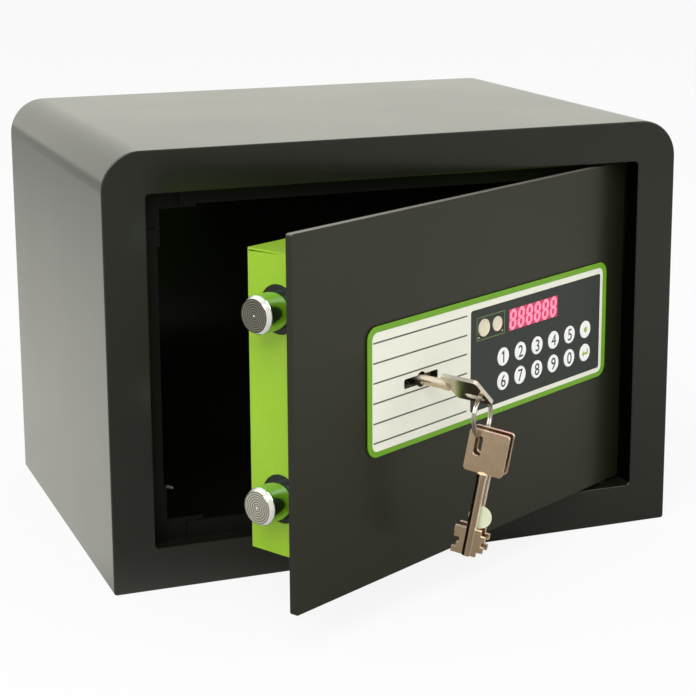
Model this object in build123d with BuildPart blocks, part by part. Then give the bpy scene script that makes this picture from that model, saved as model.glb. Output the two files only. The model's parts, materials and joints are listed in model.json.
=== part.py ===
from build123d import *
import os
from math import cos, sin, radians

os.makedirs("parts", exist_ok=True)

# Small electronic safe with an inset door. Millimetres. X runs to the right, the front faces -Y and Z is up.
# The origin is the centre of the cabinet's underside.

# ---------------------------------------------------------------- driving dimensions: cabinet
cabinet_width = 350.0
cabinet_depth = 250.0
cabinet_height = 250.0
casing_sheet = 2.0
top_corner_radius = 22.0
base_corner_radius = 1.8
frame_sheet = 2.0
frame_edge_radius = 0.8
opening_side_margin = 24.5
opening_top_margin = 24.0
opening_base_margin = 24.5
opening_corner_radius = 2.5
recess_depth = 13.0
stop_width = 9.0
stop_sheet = 2.0
stop_corner_gap = 22.0
gusset_sheet = 2.0
gusset_arm = 34.0
gusset_width = 11.0
anchor_hole_diameter = 10.0
anchor_spacing = 200.0
base_anchor_depth = 40.0
wall_anchor_height = 130.0

# ---------------------------------------------------------------- driving dimensions: door
door_gap_side = 2.4
door_gap_height = 2.0
door_recess = 8.5
door_sheet = 4.0
door_corner_radius = 1.6
open_angle = 28.2
hinge_inset = 12.0
hinge_setback = 7.0
hinge_pin_diameter = 5.0
hinge_pin_grip = 11.0
hinge_pin_head_diameter = 8.0
hinge_pin_head_height = 1.2
running_clearance = 0.05
hinge_leaf_width = 16.0
hinge_leaf_height = 12.0
hinge_leaf_back = 7.0
hinge_bracket_sheet = 3.0
hinge_bracket_reach = 12.0
hinge_bush_diameter = 9.0
hinge_bush_flange_diameter = 12.0
hinge_bush_flange = 1.0
hinge_end_float = 0.4

pan_left_margin = 13.0
pan_board_gap = 0.5
pan_base_margin = 24.0
pan_top_margin = 13.5
pan_depth = 39.0
pan_sheet = 1.2
pan_edge_radius = 1.1
pan_seam = 0.7
pan_seam_length = 24.0
standoff_diameter = 8.0
standoff_carriage_gap = 8.0
standoff_inset_right = 10.0
standoff_inset_height = 9.5
screw_diameter = 4.0
screw_head_diameter = 8.0
screw_head_height = 2.4
screw_grip = 10.0
screw_recess = 2.6

# ---------------------------------------------------------------- driving dimensions: bolts and drive
bolt_diameter = 20.0
bolt_length = 50.0
bolt_reach = 18.0
bolt_travel = 16.0
bolt_pitch = 100.0
bolt_setback = 21.5
bolt_centre_rise = 0.5
bolt_end_diameter = 17.4
bolt_end_length = 3.0
spigot_diameter = 8.0
spigot_length = 4.6
bush_diameter = 26.0
bush_length = 14.0
bush_sink = 0.5
bush_flange_diameter = 31.0
bush_flange = 2.0
carriage_sheet = 3.0
carriage_width = 20.0
carriage_overhang = 10.0
carriage_wing_sheet = 2.0
carriage_wing_reach = 31.0
carriage_wing_height = 30.0
guide_diameter = 5.0
guide_slot_width = 5.2
guide_head_diameter = 9.0
guide_head_height = 2.0
guide_collar_diameter = 8.0
guide_offset = 25.0
nut_size = 12.0
screw_shaft_diameter = 6.0
screw_shaft_drop = 34.5
screw_tip_inset = 2.0
screw_shaft_length = 76.0
motor_length = 50.0
motor_height = 20.0
motor_depth = 18.0
motor_can_diameter = 16.0
motor_can_length = 26.0
motor_foot_width = 40.0
motor_foot_height = 11.0

# ---------------------------------------------------------------- driving dimensions: control panel
panel_offset = 17.9
panel_label_length = 87.0
panel_end_margin = 7.0
panel_height = 70.5
panel_centre_rise = 0.5
panel_sheet = 1.6
panel_radius = 7.2
panel_foot = 0.7
panel_foot_inset = 0.8
panel_edge_radius = 0.4
panel_border = 3.0
panel_end_border = 4.1
label_recess = 0.6
label_sheet = 0.5
keypad_start_margin = 29.9
keypad_end_margin = 15.1
keypad_height = 57.8
keypad_centre_rise = 0.1
keypad_radius = 1.5
keypad_fit = 0.1
window_margin = 4.0
key_columns = 6
key_pitch = 16.4
row_pitch = 14.2
first_row_drop = 2.4
key_diameter = 10.5
key_hole_clearance = 0.15
key_proud = 0.4
key_edge_radius = 0.25
key_flange_diameter = 12.4
key_flange_thickness = 0.6
key_stem_diameter = 8.0
key_travel = 0.5
key_float = 0.3
board_sheet = 1.6
board_overlap = 3.0
contact_rise = 17.9
contact_large_left = 11.5
contact_large_diameter = 9.9
contact_small_left = 23.8
contact_small_diameter = 8.4
contact_proud = 0.6
contact_dish = 0.35
contact_stem_diameter = 3.0
display_left = 35.2
display_width = 47.6
display_height = 12.4
display_rise = 17.4
display_sink = 0.1

# ---------------------------------------------------------------- driving dimensions: lock and keys
keyhole_left = 43.6
keyhole_length = 29.0
keyhole_width = 5.4
keyhole_corner_radius = 1.3
keyhole_boss_diameter = 8.6
lock_case_width = 44.0
lock_case_height = 40.0
lock_case_depth = 26.0
lock_case_wall = 2.0
lever_count = 5
lever_sheet = 2.6
lever_gap = 0.3
lever_window_diameter = 24.4
lever_side_play = 0.3
drill_pin_diameter = 2.6
drill_pin_length = 11.0
key_bore_depth = 14.0

bow_width = 21.6
bow_height = 23.4
bow_sheet = 2.2
bow_root_chamfer = 1.3
bow_corner_radius = 1.8
bow_slot_offset = 5.2
bow_slot_width = 4.4
bow_slot_length = 12.0
bow_slot_top = 2.8
shank_diameter = 5.4
shank_collar_diameter = 6.0
shank_collar_length = 3.2
shank_length = 47.0
bit_length = 15.0
bit_sheet = 2.2
bit_reaches = [(5.8, 8.8), (8.4, 8.4), (6.6, 5.2), (8.4, 6.6), (5.0, 8.8)]
key_stand_off = 20.5
key_turned = 44.0

ring_diameter = 24.0
ring_wire = 1.3
ring_turn_pitch = 1.2
ring_seat_gap = 0.12
ring_bearing = 14.0
spare_bearing = 22.6
spare_tilt = 10.4
spare_seat_gap = 1.5
disc_diameter = 12.6
disc_drop = 25.5
disc_offset = 2.8
disc_sheet = 0.8

# ---------------------------------------------------------------- driving dimensions: battery and reset
tray_width = 63.0
tray_height = 64.0
tray_depth = 17.5
tray_wall = 1.5
tray_motor_gap = 9.0
cell_diameter = 14.2
cell_length = 50.0
cell_count = 4
cell_play = 0.2
cell_nub_diameter = 5.5
cell_nub_length = 1.2
spring_base_diameter = 9.0
spring_tip_diameter = 4.5
cover_margin = 3.0
cover_gap = 0.3
cover_sheet = 1.6
cover_corner_radius = 3.0
cover_rib_count = 5
cover_rib_length = 40.0
cover_rib_pitch = 4.0
cover_rib_width = 1.6
cover_rib_height = 0.7
reset_side_margin = 13.7
reset_rise = 47.5
reset_diameter = 8.0
reset_proud = 2.0
reset_travel = 1.5
reset_switch_size = 12.0
reset_switch_depth = 7.0
reset_float = 0.3
lead_diameter = 3.0
lead_bend = 4.0
lead_clearance = 9.0

# ---------------------------------------------------------------- derived positions
front_y = -cabinet_depth / 2
back_y = cabinet_depth / 2
frame_back_y = front_y + frame_sheet
stop_y = front_y + recess_depth
opening_left = -cabinet_width / 2 + opening_side_margin
opening_right = cabinet_width / 2 - opening_side_margin
opening_base = opening_base_margin
opening_top = cabinet_height - opening_top_margin

door_left = opening_left + door_gap_side
door_right = opening_right - door_gap_side
door_base = opening_base + door_gap_height
door_top = opening_top - door_gap_height
door_front_y = front_y + door_recess
door_back_y = door_front_y + door_sheet
hinge_x = door_right - hinge_inset
hinge_y = door_front_y + hinge_setback

pan_left = door_left + pan_left_margin
pan_base = door_base + pan_base_margin
pan_top = door_top - pan_top_margin
pan_height = pan_top - pan_base
pan_back_y = door_back_y + pan_depth
pan_inner_y = pan_back_y - pan_sheet
works_level = (pan_base + pan_top) / 2

bolt_y = door_front_y + bolt_setback
bolt_centre = works_level + bolt_centre_rise
bolt_levels = [bolt_centre - bolt_pitch / 2, bolt_centre + bolt_pitch / 2]
bolt_tip_x = pan_left - bolt_reach
bolt_root_x = bolt_tip_x + bolt_length
guide_x = bolt_root_x + guide_offset
guide_levels = [bolt_levels[0] + 3.0, bolt_levels[1] - 11.0]
screw_level = bolt_centre - screw_shaft_drop
carriage_front_y = bolt_y - carriage_width / 2
wing_front_y = carriage_front_y

keypad_width = keypad_start_margin + (key_columns - 1) * key_pitch + keypad_end_margin
panel_width = panel_label_length + keypad_width + panel_end_margin
panel_front_y = door_front_y - panel_sheet
panel_x = (door_left + door_right) / 2 + panel_offset
panel_z = works_level + panel_centre_rise
panel_left = panel_x - panel_width / 2
recess_width = panel_width - panel_border - panel_end_border
recess_x = panel_left + panel_border + recess_width / 2
keypad_left = panel_left + panel_label_length
keypad_x = keypad_left + keypad_width / 2
keypad_z = works_level + keypad_centre_rise
window_width = keypad_width - 2 * window_margin
window_height = keypad_height - 2 * window_margin
board_width = window_width + 2 * board_overlap
board_height = window_height + 2 * board_overlap
contact_z = works_level + contact_rise
contact_large_x = keypad_left + contact_large_left
contact_small_x = keypad_left + contact_small_left
display_x = keypad_left + display_left + display_width / 2
display_z = works_level + display_rise
key_x = [keypad_left + keypad_start_margin + column * key_pitch for column in range(key_columns)]
key_rows_z = [works_level - first_row_drop, works_level - first_row_drop - row_pitch]
key_names = [["1", "2", "3", "4", "5", "star"], ["6", "7", "8", "9", "0", "enter"]]

keyhole_x = panel_left + keyhole_left
keyhole_z = works_level
bow_root_y = door_front_y - key_stand_off
screw_tip_x = bolt_root_x + screw_tip_inset
motor_x = screw_tip_x + screw_shaft_length
motor_back_x = motor_x + motor_length
tray_x = motor_back_x + tray_motor_gap + tray_width / 2
tray_z = works_level
pan_right = keypad_x + board_width / 2 + pan_board_gap + pan_sheet
reset_x = pan_right - reset_side_margin
reset_z = works_level + reset_rise

# The door stands ajar at rest: its pieces are built shut and turned about the hinge axis by this location.
ajar = (
    Location((hinge_x, hinge_y, 0))
    * Location((0, 0, 0), (0, 0, open_angle))
    * Location((-hinge_x, -hinge_y, 0))
)


def upright(y):
    """An upright plane at depth y. Its X is to the right, its Y is up, and it faces the front."""
    return Plane.XZ.offset(-y)


def side_on(x):
    """An upright plane at x that faces right. Its X runs to the back and its Y is up."""
    return Plane.YZ.offset(x)


def cabinet_outline(inset):
    """The cabinet's front outline, inset from the outer faces: large radii on top, small ones below."""
    with BuildSketch() as outline:
        with Locations((0, inset)):
            Rectangle(cabinet_width - 2 * inset, cabinet_height - 2 * inset, align=(Align.CENTER, Align.MIN))
        fillet(outline.vertices().group_by(Axis.Y)[-1], top_corner_radius - inset)
        if inset < base_corner_radius:
            fillet(outline.vertices().group_by(Axis.Y)[0], base_corner_radius - inset)
    return outline.sketch


def opening_outline(grow):
    """The door opening's outline, grown outwards by the given amount."""
    with BuildSketch() as outline:
        with Locations(((opening_left + opening_right) / 2, (opening_base + opening_top) / 2)):
            RectangleRounded(
                opening_right - opening_left + 2 * grow,
                opening_top - opening_base + 2 * grow,
                opening_corner_radius + grow,
            )
    return outline.sketch


# ================================================================ cabinet
# Wrap: left side, top and right side in one folded sheet, open below for the base plate.
with BuildPart() as casing_wrap:
    with BuildSketch(upright(back_y)):
        add(cabinet_outline(0))
        add(cabinet_outline(casing_sheet), mode=Mode.SUBTRACT)
        Rectangle(
            cabinet_width - 2 * casing_sheet,
            2 * casing_sheet,
            align=(Align.CENTER, Align.MIN),
            mode=Mode.SUBTRACT,
        )
    extrude(amount=cabinet_depth - frame_sheet)
casing_wrap.part.label = "casing_wrap"
export_step(casing_wrap.part, "parts/casing_wrap.step")

# Base plate with two anchor holes.
with BuildPart() as base_plate:
    with BuildSketch(Plane.XY):
        with Locations((0, frame_sheet / 2)):
            Rectangle(cabinet_width - 2 * casing_sheet, cabinet_depth - frame_sheet)
        with Locations((0, base_anchor_depth)):
            with GridLocations(anchor_spacing, 1, 2, 1):
                Circle(anchor_hole_diameter / 2, mode=Mode.SUBTRACT)
    extrude(amount=casing_sheet)
base_plate.part.label = "base_plate"
export_step(base_plate.part, "parts/base_plate.step")

# Back plate, set inside the wrap, with two anchor holes.
with BuildPart() as back_plate:
    with BuildSketch(upright(back_y)):
        add(cabinet_outline(casing_sheet))
        with Locations((0, wall_anchor_height)):
            with GridLocations(anchor_spacing, 1, 2, 1):
                Circle(anchor_hole_diameter / 2, mode=Mode.SUBTRACT)
    extrude(amount=casing_sheet)
back_plate.part.label = "back_plate"
export_step(back_plate.part, "parts/back_plate.step")

# Front frame: a face ring and the jamb folded back round the opening, notched for the hinge bushes.
with BuildPart() as front_frame:
    with BuildSketch(upright(frame_back_y)):
        add(cabinet_outline(0))
        add(opening_outline(0), mode=Mode.SUBTRACT)
    extrude(amount=frame_sheet)
    fillet(front_frame.faces().sort_by(Axis.Y)[0].edges(), frame_edge_radius)
    with BuildSketch(upright(stop_y)):
        add(opening_outline(frame_sheet))
        add(opening_outline(0), mode=Mode.SUBTRACT)
    extrude(amount=recess_depth - frame_sheet)
    with BuildSketch(Plane.XY.offset(opening_base - frame_sheet)):
        with Locations((hinge_x, hinge_y)):
            Circle(hinge_bush_diameter / 2)
    extrude(amount=opening_top - opening_base + 2 * frame_sheet, mode=Mode.SUBTRACT)
front_frame.part.label = "front_frame"
export_step(front_frame.part, "parts/front_frame.step")

# Door stops: strips welded to the jamb's rear edge, short of the corners and of the hinge.
stop_band = stop_width + frame_sheet
stop_end_x = hinge_x - hinge_bracket_reach - 2.0
stop_start_x = opening_left + stop_corner_gap

with BuildPart() as door_stop_left:
    with BuildSketch(upright(stop_y + stop_sheet)):
        with Locations((opening_left - frame_sheet, opening_base + stop_corner_gap)):
            Rectangle(
                stop_band,
                opening_top - opening_base - 2 * stop_corner_gap,
                align=(Align.MIN, Align.MIN),
            )
    extrude(amount=stop_sheet)
door_stop_left.part.label = "door_stop_left"
export_step(door_stop_left.part, "parts/door_stop_left.step")

with BuildPart() as door_stop_top:
    with BuildSketch(upright(stop_y + stop_sheet)):
        with Locations((stop_start_x, opening_top + frame_sheet)):
            Rectangle(stop_end_x - stop_start_x, stop_band, align=(Align.MIN, Align.MAX))
    extrude(amount=stop_sheet)
door_stop_top.part.label = "door_stop_top"
export_step(door_stop_top.part, "parts/door_stop_top.step")

with BuildPart() as door_stop_bottom:
    with BuildSketch(upright(stop_y + stop_sheet)):
        with Locations((stop_start_x, opening_base - frame_sheet)):
            Rectangle(stop_end_x - stop_start_x, stop_band, align=(Align.MIN, Align.MIN))
    extrude(amount=stop_sheet)
door_stop_bottom.part.label = "door_stop_bottom"
export_step(door_stop_bottom.part, "parts/door_stop_bottom.step")

# L-shaped gussets behind the stops join them at the two lock-side corners.
with BuildPart() as corner_gussets:
    with BuildSketch(upright(stop_y + stop_sheet + gusset_sheet)):
        for corner_z, rise in [
            (opening_base - frame_sheet, Align.MIN),
            (opening_top + frame_sheet, Align.MAX),
        ]:
            with Locations((opening_left - frame_sheet, corner_z)):
                Rectangle(gusset_width + frame_sheet, gusset_arm, align=(Align.MIN, rise))
                Rectangle(gusset_arm, gusset_width + frame_sheet, align=(Align.MIN, rise))
    extrude(amount=gusset_sheet)
corner_gussets.part.label = "corner_gussets"
export_step(corner_gussets.part, "parts/corner_gussets.step")

# Hinge brackets: level plates behind the top and bottom jambs, each bored for a bush.
with BuildPart() as hinge_brackets:
    for level, growth in [(opening_top, hinge_bracket_sheet), (opening_base, -hinge_bracket_sheet)]:
        with BuildSketch(Plane.XY.offset(level)):
            with Locations((hinge_x - hinge_bracket_reach, stop_y)):
                Rectangle(
                    opening_right + frame_sheet - hinge_x + hinge_bracket_reach,
                    hinge_y - stop_y + hinge_bracket_reach,
                    align=(Align.MIN, Align.MIN),
                )
            with Locations((hinge_x, hinge_y)):
                Circle(hinge_bush_diameter / 2, mode=Mode.SUBTRACT)
        extrude(amount=growth)
hinge_brackets.part.label = "hinge_brackets"
export_step(hinge_brackets.part, "parts/hinge_brackets.step")

# Flanged bushes pressed into the brackets.
pin_bore_radius = hinge_pin_diameter / 2 + running_clearance
with BuildPart() as hinge_bushes:
    for level, growth in [(opening_top, 1), (opening_base, -1)]:
        with BuildSketch(Plane.XY.offset(level)):
            with Locations((hinge_x, hinge_y)):
                Circle(hinge_bush_diameter / 2)
                Circle(pin_bore_radius, mode=Mode.SUBTRACT)
        extrude(amount=growth * hinge_bracket_sheet)
        with BuildSketch(Plane.XY.offset(level)):
            with Locations((hinge_x, hinge_y)):
                Circle(hinge_bush_flange_diameter / 2)
                Circle(pin_bore_radius, mode=Mode.SUBTRACT)
        extrude(amount=-growth * hinge_bush_flange)
hinge_bushes.part.label = "hinge_bushes"
export_step(hinge_bushes.part, "parts/hinge_bushes.step")

# ================================================================ hinge
leaf_top = opening_top - hinge_bush_flange - hinge_end_float
leaf_base = opening_base + hinge_bush_flange + hinge_end_float

# Two headed pins on the hinge axis. They turn in the bushes and in the leaves.
with BuildPart() as hinge_pins:
    for inner, outer, growth in [
        (leaf_top - hinge_pin_grip, opening_top + hinge_bracket_sheet, 1),
        (leaf_base + hinge_pin_grip, opening_base - hinge_bracket_sheet, -1),
    ]:
        head_level = outer + growth * running_clearance
        with BuildSketch(Plane.XY.offset(inner)):
            with Locations((hinge_x, hinge_y)):
                Circle(hinge_pin_diameter / 2)
        extrude(amount=head_level - inner)
        with BuildSketch(Plane.XY.offset(head_level)):
            with Locations((hinge_x, hinge_y)):
                Circle(hinge_pin_head_diameter / 2)
        extrude(amount=growth * hinge_pin_head_height)
hinge_pins.part.label = "hinge_pins"
export_step(hinge_pins.part, "parts/hinge_pins.step")

# Leaves: blocks welded behind the door plate, bored for the pins.
with BuildPart() as hinge_leaves:
    for level in [leaf_base, leaf_top - hinge_leaf_height]:
        with BuildSketch(Plane.XY.offset(level)) as leaf_outline:
            with Locations((hinge_x, door_back_y)):
                Rectangle(
                    hinge_leaf_width,
                    hinge_y - door_back_y + hinge_leaf_back,
                    align=(Align.CENTER, Align.MIN),
                )
            fillet(leaf_outline.vertices().group_by(Axis.Y)[-1], hinge_leaf_back - 1.0)
            with Locations((hinge_x, hinge_y)):
                Circle(pin_bore_radius, mode=Mode.SUBTRACT)
        extrude(amount=hinge_leaf_height)
hinge_leaves.part.label = "hinge_leaves"
hinge_leaves.part.location = ajar
export_step(hinge_leaves.part, "parts/hinge_leaves.step")


# ================================================================ door
def keyhole_outline():
    """The double-bit keyhole: a level slot with a round boss in its middle."""
    with BuildSketch() as outline:
        with Locations((keyhole_x, keyhole_z)):
            RectangleRounded(keyhole_length, keyhole_width, keyhole_corner_radius)
            Circle(keyhole_boss_diameter / 2)
    return outline.sketch


# Door plate with the keyhole and a window behind the keypad.
with BuildPart() as door_plate:
    with BuildSketch(upright(door_back_y)):
        with Locations(((door_left + door_right) / 2, (door_base + door_top) / 2)):
            RectangleRounded(door_right - door_left, door_top - door_base, door_corner_radius)
        with Locations((keypad_x, keypad_z)):
            Rectangle(window_width, window_height, mode=Mode.SUBTRACT)
        add(keyhole_outline(), mode=Mode.SUBTRACT)
    extrude(amount=door_sheet)
door_plate.part.label = "door_plate"
door_plate.part.location = ajar
export_step(door_plate.part, "parts/door_plate.step")

# Door pan: a folded tray that covers the works behind the plate.
standoffs = [
    (x, z)
    for x in [bolt_root_x + carriage_wing_reach + standoff_carriage_gap, pan_right - standoff_inset_right]
    for z in [pan_base + standoff_inset_height, pan_top - standoff_inset_height]
]
pan_width = pan_right - pan_left
with BuildPart() as door_pan:
    with BuildSketch(upright(pan_back_y)):
        with Locations(((pan_left + pan_right) / 2, (pan_base + pan_top) / 2)):
            Rectangle(pan_width, pan_height)
    extrude(amount=pan_depth)
    fillet(door_pan.faces().sort_by(Axis.Y)[-1].edges(), pan_edge_radius)
    with BuildSketch(upright(pan_inner_y)):
        with Locations(((pan_left + pan_right) / 2, (pan_base + pan_top) / 2)):
            Rectangle(pan_width - 2 * pan_sheet, pan_height - 2 * pan_sheet)
    extrude(amount=pan_depth, mode=Mode.SUBTRACT)
    with BuildSketch(side_on(pan_left)):
        with Locations(*[(bolt_y, level) for level in bolt_levels]):
            Circle(bush_diameter / 2)
    extrude(amount=pan_sheet, mode=Mode.SUBTRACT)
    with BuildSketch(upright(pan_back_y)):
        with Locations(*standoffs):
            Circle(screw_diameter / 2)
        with Locations((tray_x, tray_z)):
            Rectangle(tray_width, tray_height)
        with Locations((reset_x, reset_z)):
            Circle(reset_diameter / 2 + key_hole_clearance)
    extrude(amount=pan_sheet, mode=Mode.SUBTRACT)
    # the two upper folded corners stay open for a short way next to the back bend
    for seam_x in [pan_left, pan_right - pan_sheet]:
        with BuildSketch(side_on(seam_x)):
            with BuildLine():
                Polyline(
                    (pan_inner_y, pan_top - pan_sheet),
                    (pan_inner_y, pan_top - pan_sheet - pan_seam),
                    (pan_inner_y - pan_seam_length, pan_top - pan_sheet),
                    close=True,
                )
            make_face()
        extrude(amount=pan_sheet, mode=Mode.SUBTRACT)
door_pan.part.label = "door_pan"
door_pan.part.location = ajar
export_step(door_pan.part, "parts/door_pan.step")

# Tapped standoffs between the plate and the pan's back wall.
with BuildPart() as pan_standoffs:
    with BuildSketch(upright(pan_inner_y)):
        with Locations(*standoffs):
            Circle(standoff_diameter / 2)
    extrude(amount=pan_inner_y - door_back_y)
    with BuildSketch(upright(pan_inner_y)):
        with Locations(*standoffs):
            Circle(screw_diameter / 2)
    extrude(amount=screw_grip, mode=Mode.SUBTRACT)
pan_standoffs.part.label = "pan_standoffs"
pan_standoffs.part.location = ajar
export_step(pan_standoffs.part, "parts/pan_standoffs.step")

# Round-head cross-recess screws that hold the pan on.
with BuildPart() as pan_screws:
    with BuildSketch(upright(pan_back_y)):
        with Locations(*standoffs):
            Circle(screw_diameter / 2)
    extrude(amount=pan_sheet + screw_grip)
    with BuildSketch(upright(pan_back_y)):
        with Locations(*standoffs):
            Circle(screw_head_diameter / 2)
    extrude(amount=-screw_head_height)
    fillet(pan_screws.faces().group_by(Axis.Y)[-1].edges(), screw_head_height * 0.6)
    with BuildSketch(upright(pan_back_y + screw_head_height)):
        with Locations(*standoffs):
            Rectangle(screw_recess * 2, 0.8)
            Rectangle(0.8, screw_recess * 2)
    extrude(amount=screw_head_height / 2, mode=Mode.SUBTRACT)
pan_screws.part.label = "pan_screws"
pan_screws.part.location = ajar
export_step(pan_screws.part, "parts/pan_screws.step")

# ================================================================ bolts and their drive
# Plastic bushes that guide the bolts through the pan's edge.
bolt_bore_radius = bolt_diameter / 2 + running_clearance
with BuildPart() as bolt_bushes:
    with BuildSketch(side_on(pan_left + bush_sink)):
        with Locations(*[(bolt_y, level) for level in bolt_levels]):
            Circle(bush_diameter / 2 - running_clearance)
            Circle(bolt_bore_radius, mode=Mode.SUBTRACT)
    extrude(amount=bush_length)
    with BuildSketch(side_on(pan_left + pan_sheet)):
        with Locations(*[(bolt_y, level) for level in bolt_levels]):
            Circle(bush_flange_diameter / 2)
            Circle(bolt_bore_radius, mode=Mode.SUBTRACT)
    extrude(amount=bush_flange)
bolt_bushes.part.label = "bolt_bushes"
bolt_bushes.part.location = ajar
export_step(bolt_bushes.part, "parts/bolt_bushes.step")


def bolt(level):
    """A turned bolt along X with a tapered end and a spigot that is riveted into the carriage."""
    with BuildPart() as shape:
        with BuildSketch(side_on(bolt_tip_x)):
            with Locations((bolt_y, level)):
                Circle(bolt_diameter / 2)
        extrude(amount=bolt_length)
        chamfer(
            shape.faces().sort_by(Axis.X)[0].edges(),
            length=bolt_end_length,
            length2=(bolt_diameter - bolt_end_diameter) / 2,
        )
        with BuildSketch(side_on(bolt_root_x)):
            with Locations((bolt_y, level)):
                Circle(spigot_diameter / 2)
        extrude(amount=spigot_length)
    return shape


for level, height_name in zip(bolt_levels, ["lower", "upper"]):
    lock_bolt = bolt(level)
    lock_bolt.part.label = f"bolt_{height_name}"
    lock_bolt.part.location = ajar
    export_step(lock_bolt.part, f"parts/bolt_{height_name}.step")

# Carriage: an upright strip that carries both bolts, two slotted wings and the drive nut.
with BuildPart() as bolt_carriage:
    with BuildSketch(side_on(bolt_root_x)):
        with Locations((bolt_y, (bolt_levels[0] + bolt_levels[1]) / 2)):
            Rectangle(carriage_width, bolt_pitch + 2 * carriage_overhang)
        with Locations(*[(bolt_y, level) for level in bolt_levels]):
            Circle(spigot_diameter / 2, mode=Mode.SUBTRACT)
    extrude(amount=carriage_sheet)
    with BuildSketch(side_on(bolt_root_x + carriage_sheet)):
        with Locations((bolt_y, screw_level)):
            Rectangle(nut_size, nut_size)
    extrude(amount=nut_size)
    with BuildSketch(side_on(bolt_root_x)):
        with Locations((bolt_y, screw_level)):
            Circle(screw_shaft_diameter / 2 + running_clearance)
    extrude(amount=carriage_sheet + nut_size, mode=Mode.SUBTRACT)
    for level in guide_levels:
        with BuildSketch(upright(wing_front_y + carriage_wing_sheet)):
            with Locations((bolt_root_x, level)):
                Rectangle(carriage_wing_reach, carriage_wing_height, align=(Align.MIN, Align.CENTER))
            with Locations((guide_x - bolt_travel / 2, level)):
                SlotCenterToCenter(bolt_travel, guide_slot_width, mode=Mode.SUBTRACT)
        extrude(amount=carriage_wing_sheet)
bolt_carriage.part.label = "bolt_carriage"
bolt_carriage.part.location = ajar
export_step(bolt_carriage.part, "parts/bolt_carriage.step")

# Shouldered studs that guide the carriage's wings.
with BuildPart() as guide_studs:
    with BuildSketch(upright(door_back_y)):
        with Locations(*[(guide_x, level) for level in guide_levels]):
            Circle(guide_collar_diameter / 2)
    extrude(amount=-(wing_front_y - running_clearance - door_back_y))
    with BuildSketch(upright(door_back_y)):
        with Locations(*[(guide_x, level) for level in guide_levels]):
            Circle(guide_diameter / 2)
    extrude(amount=-(wing_front_y + carriage_wing_sheet + running_clearance - door_back_y))
    with BuildSketch(upright(wing_front_y + carriage_wing_sheet + running_clearance)):
        with Locations(*[(guide_x, level) for level in guide_levels]):
            Circle(guide_head_diameter / 2)
    extrude(amount=-guide_head_height)
guide_studs.part.label = "guide_studs"
guide_studs.part.location = ajar
export_step(guide_studs.part, "parts/guide_studs.step")

# Drive screw along X. The thread is left out: it is a plain shaft in a plain nut.
with BuildPart() as lead_screw:
    with BuildSketch(side_on(screw_tip_x)):
        with Locations((bolt_y, screw_level)):
            Circle(screw_shaft_diameter / 2)
    extrude(amount=screw_shaft_length)
    chamfer(lead_screw.faces().sort_by(Axis.X)[0].edges(), length=0.8)
lead_screw.part.label = "lead_screw"
lead_screw.part.location = ajar
export_step(lead_screw.part, "parts/lead_screw.step")

# Gear motor: a gearbox block with a motor can behind it.
with BuildPart() as gear_motor:
    with BuildSketch(side_on(motor_x + running_clearance)):
        with Locations((bolt_y, screw_level)):
            RectangleRounded(motor_depth, motor_height, 2.0)
    extrude(amount=motor_length - motor_can_length)
    with BuildSketch(side_on(motor_x + motor_length - motor_can_length)):
        with Locations((bolt_y, screw_level)):
            Circle(motor_can_diameter / 2)
    extrude(amount=motor_can_length)
gear_motor.part.label = "gear_motor"
gear_motor.part.location = ajar
export_step(gear_motor.part, "parts/gear_motor.step")

# Foot that carries the motor on the back of the plate.
with BuildPart() as motor_bracket:
    with BuildSketch(upright(bolt_y - motor_depth / 2)):
        with Locations((motor_x + running_clearance, screw_level)):
            Rectangle(motor_foot_width, motor_foot_height, align=(Align.MIN, Align.CENTER))
    extrude(amount=bolt_y - motor_depth / 2 - door_back_y)
motor_bracket.part.label = "motor_bracket"
motor_bracket.part.location = ajar
export_step(motor_bracket.part, "parts/motor_bracket.step")

# ================================================================ control panel
# Panel body: a thin moulding on a slightly smaller foot. A narrow border frames the recess for its label.
with BuildPart() as control_panel:
    with BuildSketch(upright(door_front_y)):
        with Locations((panel_x, panel_z)):
            RectangleRounded(
                panel_width - 2 * panel_foot_inset,
                panel_height - 2 * panel_foot_inset,
                panel_radius - panel_foot_inset,
            )
    extrude(amount=panel_foot)
    with BuildSketch(upright(door_front_y - panel_foot)):
        with Locations((panel_x, panel_z)):
            RectangleRounded(panel_width, panel_height, panel_radius)
    extrude(amount=panel_sheet - panel_foot)
    fillet(control_panel.faces().sort_by(Axis.Y)[0].edges(), panel_edge_radius)
    with BuildSketch(upright(panel_front_y + label_recess)):
        with Locations((recess_x, panel_z)):
            RectangleRounded(
                recess_width,
                panel_height - 2 * panel_border,
                panel_radius - panel_border,
            )
    extrude(amount=label_recess, mode=Mode.SUBTRACT)
    with BuildSketch(upright(door_front_y)):
        with Locations((keypad_x, keypad_z)):
            RectangleRounded(keypad_width + 2 * keypad_fit, keypad_height + 2 * keypad_fit, keypad_radius)
        add(keyhole_outline())
    extrude(amount=panel_sheet, mode=Mode.SUBTRACT)
control_panel.part.label = "control_panel"
control_panel.part.location = ajar
export_step(control_panel.part, "parts/control_panel.step")

# Label in the recess, open for the keypad and the keyhole.
with BuildPart() as label_face:
    with BuildSketch(upright(panel_front_y + label_recess)):
        with Locations((recess_x, panel_z)):
            RectangleRounded(
                recess_width - 2 * keypad_fit,
                panel_height - 2 * (panel_border + keypad_fit),
                panel_radius - panel_border,
            )
        with Locations((keypad_x, keypad_z)):
            RectangleRounded(
                keypad_width + 2 * keypad_fit,
                keypad_height + 2 * keypad_fit,
                keypad_radius,
                mode=Mode.SUBTRACT,
            )
        add(keyhole_outline(), mode=Mode.SUBTRACT)
    extrude(amount=label_sheet)
label_face.part.label = "label_face"
label_face.part.location = ajar
export_step(label_face.part, "parts/label_face.step")

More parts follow.
